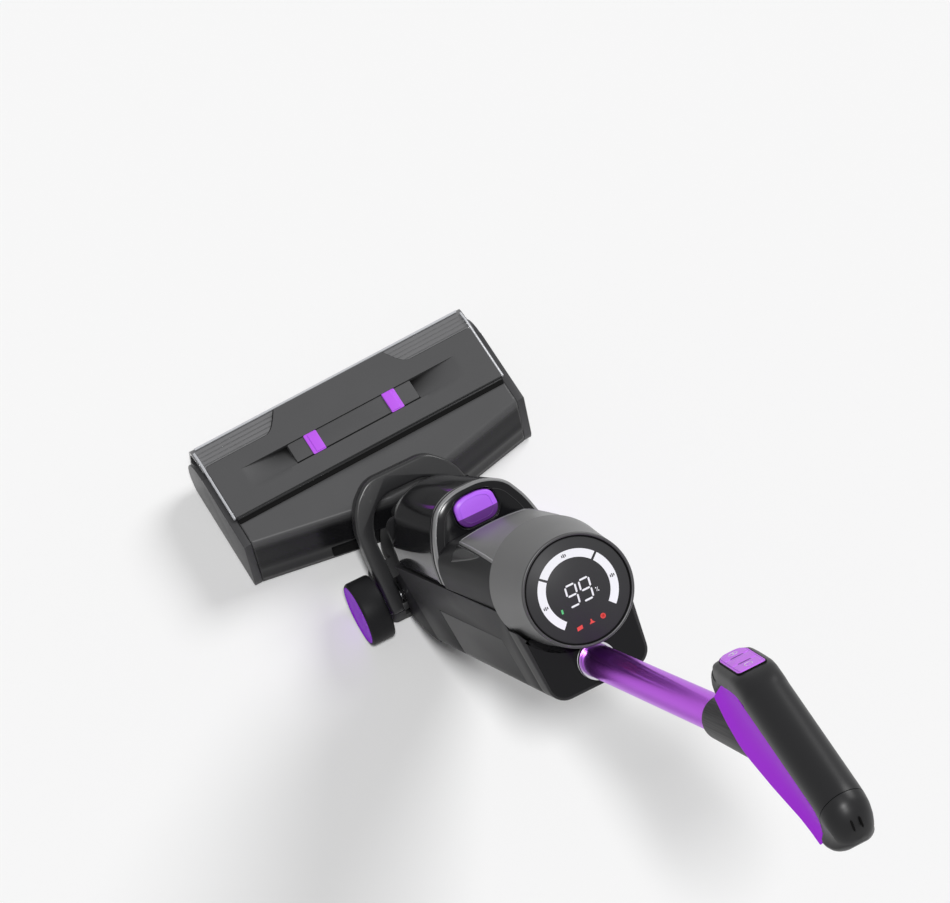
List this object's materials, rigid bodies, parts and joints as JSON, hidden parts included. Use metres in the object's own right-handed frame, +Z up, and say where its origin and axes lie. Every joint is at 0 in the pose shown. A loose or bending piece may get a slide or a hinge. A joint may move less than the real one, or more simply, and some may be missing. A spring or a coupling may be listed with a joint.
{
  "type": "cordless stick vacuum",
  "caption": "Reclined cordless stick vacuum for wet floors: roller head with lift-off cover, steering yoke, two tanks, round display and a raked grip on a tube.",
  "frame": {"origin": "centre of the flat sole plate's underside, on the floor", "axes": "+Z up, +Y forward out of the head's roller side, +X to the right seen from the user's place behind"},
  "size_m": [0.3, 0.8364, 0.8826],
  "materials": {
    "black_satin": "satin",
    "gloss_black": "gloss",
    "cover_grey": "satin",
    "light_grey": "satin",
    "smoked_clear": "gloss",
    "purple": "gloss",
    "purple_metal": "gloss",
    "rubber_black": "matte",
    "tyre_black": "matte",
    "steel": "satin",
    "motor_metal": "satin",
    "white_plastic": "satin",
    "silver": "polished",
    "pile": "matte",
    "sole_black": "satin",
    "cells": "gloss",
    "filter_paper": "matte",
    "board_green": "gloss",
    "display_dark": "gloss"
  },
  "bodies": {
    "head": {"chassis": "black_satin", "rear_deck": "light_grey", "left_cheek": "cover_grey", "right_cheek": "cover_grey", "sole_plate": "sole_black", "suction_duct": "sole_black", "roller_motor": "motor_metal", "drive_belt": "rubber_black", "roller_bearings": "steel", "scraper": "rubber_black", "squeegee": "rubber_black", "spray_bar": "sole_black", "steering_pin": "steel"},
    "cover": {"cover_frame": "black_satin", "cover_plate": "cover_grey", "front_window": "smoked_clear", "latch_bar": "black_satin"},
    "left_release": {"latch_left": "purple"},
    "right_release": {"latch_right": "purple"},
    "roller": {"roller_core": "purple", "roller_pile": "pile"},
    "pulley": {"motor_pulley": "steel"},
    "yoke": {"yoke_carriage": "cover_grey", "yoke_hoop": "black_satin", "pivot_pins": "steel"},
    "left_wheel": {"wheel_tyre_left": "tyre_black", "wheel_hub_left": "purple"},
    "right_wheel": {"wheel_tyre_right": "tyre_black", "wheel_hub_right": "purple"},
    "upright": {"pivot_housing": "black_satin", "body_shell": "black_satin", "upper_shell": "gloss_black", "front_panel": "light_grey", "body_screws": "steel", "fan_motor": "motor_metal", "battery": "cells", "water_pump": "sole_black", "filter": "filter_paper", "display_housing": "light_grey", "display_bezel": "gloss_black", "display_glass": "display_dark", "display_board": "board_green", "end_cap": "black_satin", "tube_ring": "silver", "tube": "purple_metal", "handle_collar": "black_satin", "grip_shell": "black_satin", "grip_liner": "purple", "control_panel": "purple", "grip_end_cap": "black_satin"},
    "impeller": {"fan_rotor": "white_plastic"},
    "waste_tank": {"dirty_tank": "gloss_black", "tank_lid": "gloss_black"},
    "level_float": {"tank_float": "purple"},
    "tank_release": {"tank_button": "purple"},
    "water_tank": {"clean_tank": "light_grey", "clean_tank_cap": "light_grey"},
    "low_key": {"key_low": "purple"},
    "middle_key": {"key_mid": "purple"},
    "high_key": {"key_high": "purple"}
  },
  "joints": [
    {"name": "cover_lift", "type": "slide", "parent": "head", "child": "cover", "axis": [0, 0, 1], "range_m": [0, 0.06]},
    {"name": "left_latch", "type": "slide", "parent": "cover", "child": "left_release", "axis": [1, 0, 0], "range_m": [0, 0.003], "stiffness_N_per_m": 500},
    {"name": "right_latch", "type": "slide", "parent": "cover", "child": "right_release", "axis": [-1, 0, 0], "range_m": [0, 0.003], "stiffness_N_per_m": 500},
    {"name": "roller_spin", "type": "hinge", "parent": "head", "child": "roller", "pos_m": [0, 0.063, 0.0285], "axis": [1, 0, 0], "continuous": true},
    {"name": "pulley_spin", "type": "hinge", "parent": "head", "child": "pulley", "pos_m": [-0.1424, -0.006, 0.03], "axis": [1, 0, 0], "continuous": true},
    {"name": "steer", "type": "hinge", "parent": "head", "child": "yoke", "pos_m": [0, -0.071, 0.006], "axis": [0, 0, 1], "range_deg": [-22.2, 27.8]},
    {"name": "left_wheel_spin", "type": "hinge", "parent": "yoke", "child": "left_wheel", "pos_m": [-0.07635, -0.11732, 0.031], "axis": [0.9988, -0.0489, 0], "continuous": true},
    {"name": "right_wheel_spin", "type": "hinge", "parent": "yoke", "child": "right_wheel", "pos_m": [0.07147, -0.12455, 0.031], "axis": [0.9988, -0.0489, 0], "continuous": true},
    {"name": "recline", "type": "hinge", "parent": "yoke", "child": "upright", "pos_m": [-0.00244, -0.12094, 0.031], "axis": [0.9988, -0.0489, 0], "range_deg": [-32.5, 35]},
    {"name": "impeller_spin", "type": "hinge", "parent": "upright", "child": "impeller", "pos_m": [-0.01104, -0.29684, 0.39901], "axis": [-0.0262, -0.5367, 0.8434], "continuous": true},
    {"name": "waste_tank_pull", "type": "slide", "parent": "upright", "child": "waste_tank", "axis": [0.0412, 0.8424, 0.5373], "range_m": [0, 0.06]},
    {"name": "float_rise", "type": "slide", "parent": "waste_tank", "child": "level_float", "axis": [-0.0262, -0.5367, 0.8434], "range_m": [0, 0.06]},
    {"name": "tank_release_push", "type": "slide", "parent": "waste_tank", "child": "tank_release", "axis": [0.0262, 0.5367, -0.8434], "range_m": [0, 0.0025], "stiffness_N_per_m": 500},
    {"name": "water_tank_pull", "type": "slide", "parent": "upright", "child": "water_tank", "axis": [-0.0412, -0.8424, -0.5373], "range_m": [0, 0.05]},
    {"name": "low_key_press", "type": "slide", "parent": "upright", "child": "low_key", "axis": [-0.0379, -0.774, -0.632], "range_m": [0, 0.0006], "stiffness_N_per_m": 600},
    {"name": "middle_key_press", "type": "slide", "parent": "upright", "child": "middle_key", "axis": [-0.0379, -0.774, -0.632], "range_m": [0, 0.0006], "stiffness_N_per_m": 600},
    {"name": "high_key_press", "type": "slide", "parent": "upright", "child": "high_key", "axis": [-0.0379, -0.774, -0.632], "range_m": [0, 0.0006], "stiffness_N_per_m": 600}
  ],
  "couplings": [
    {"joint": "pulley_spin", "follows": "roller_spin", "ratio": 1.6364}
  ]
}
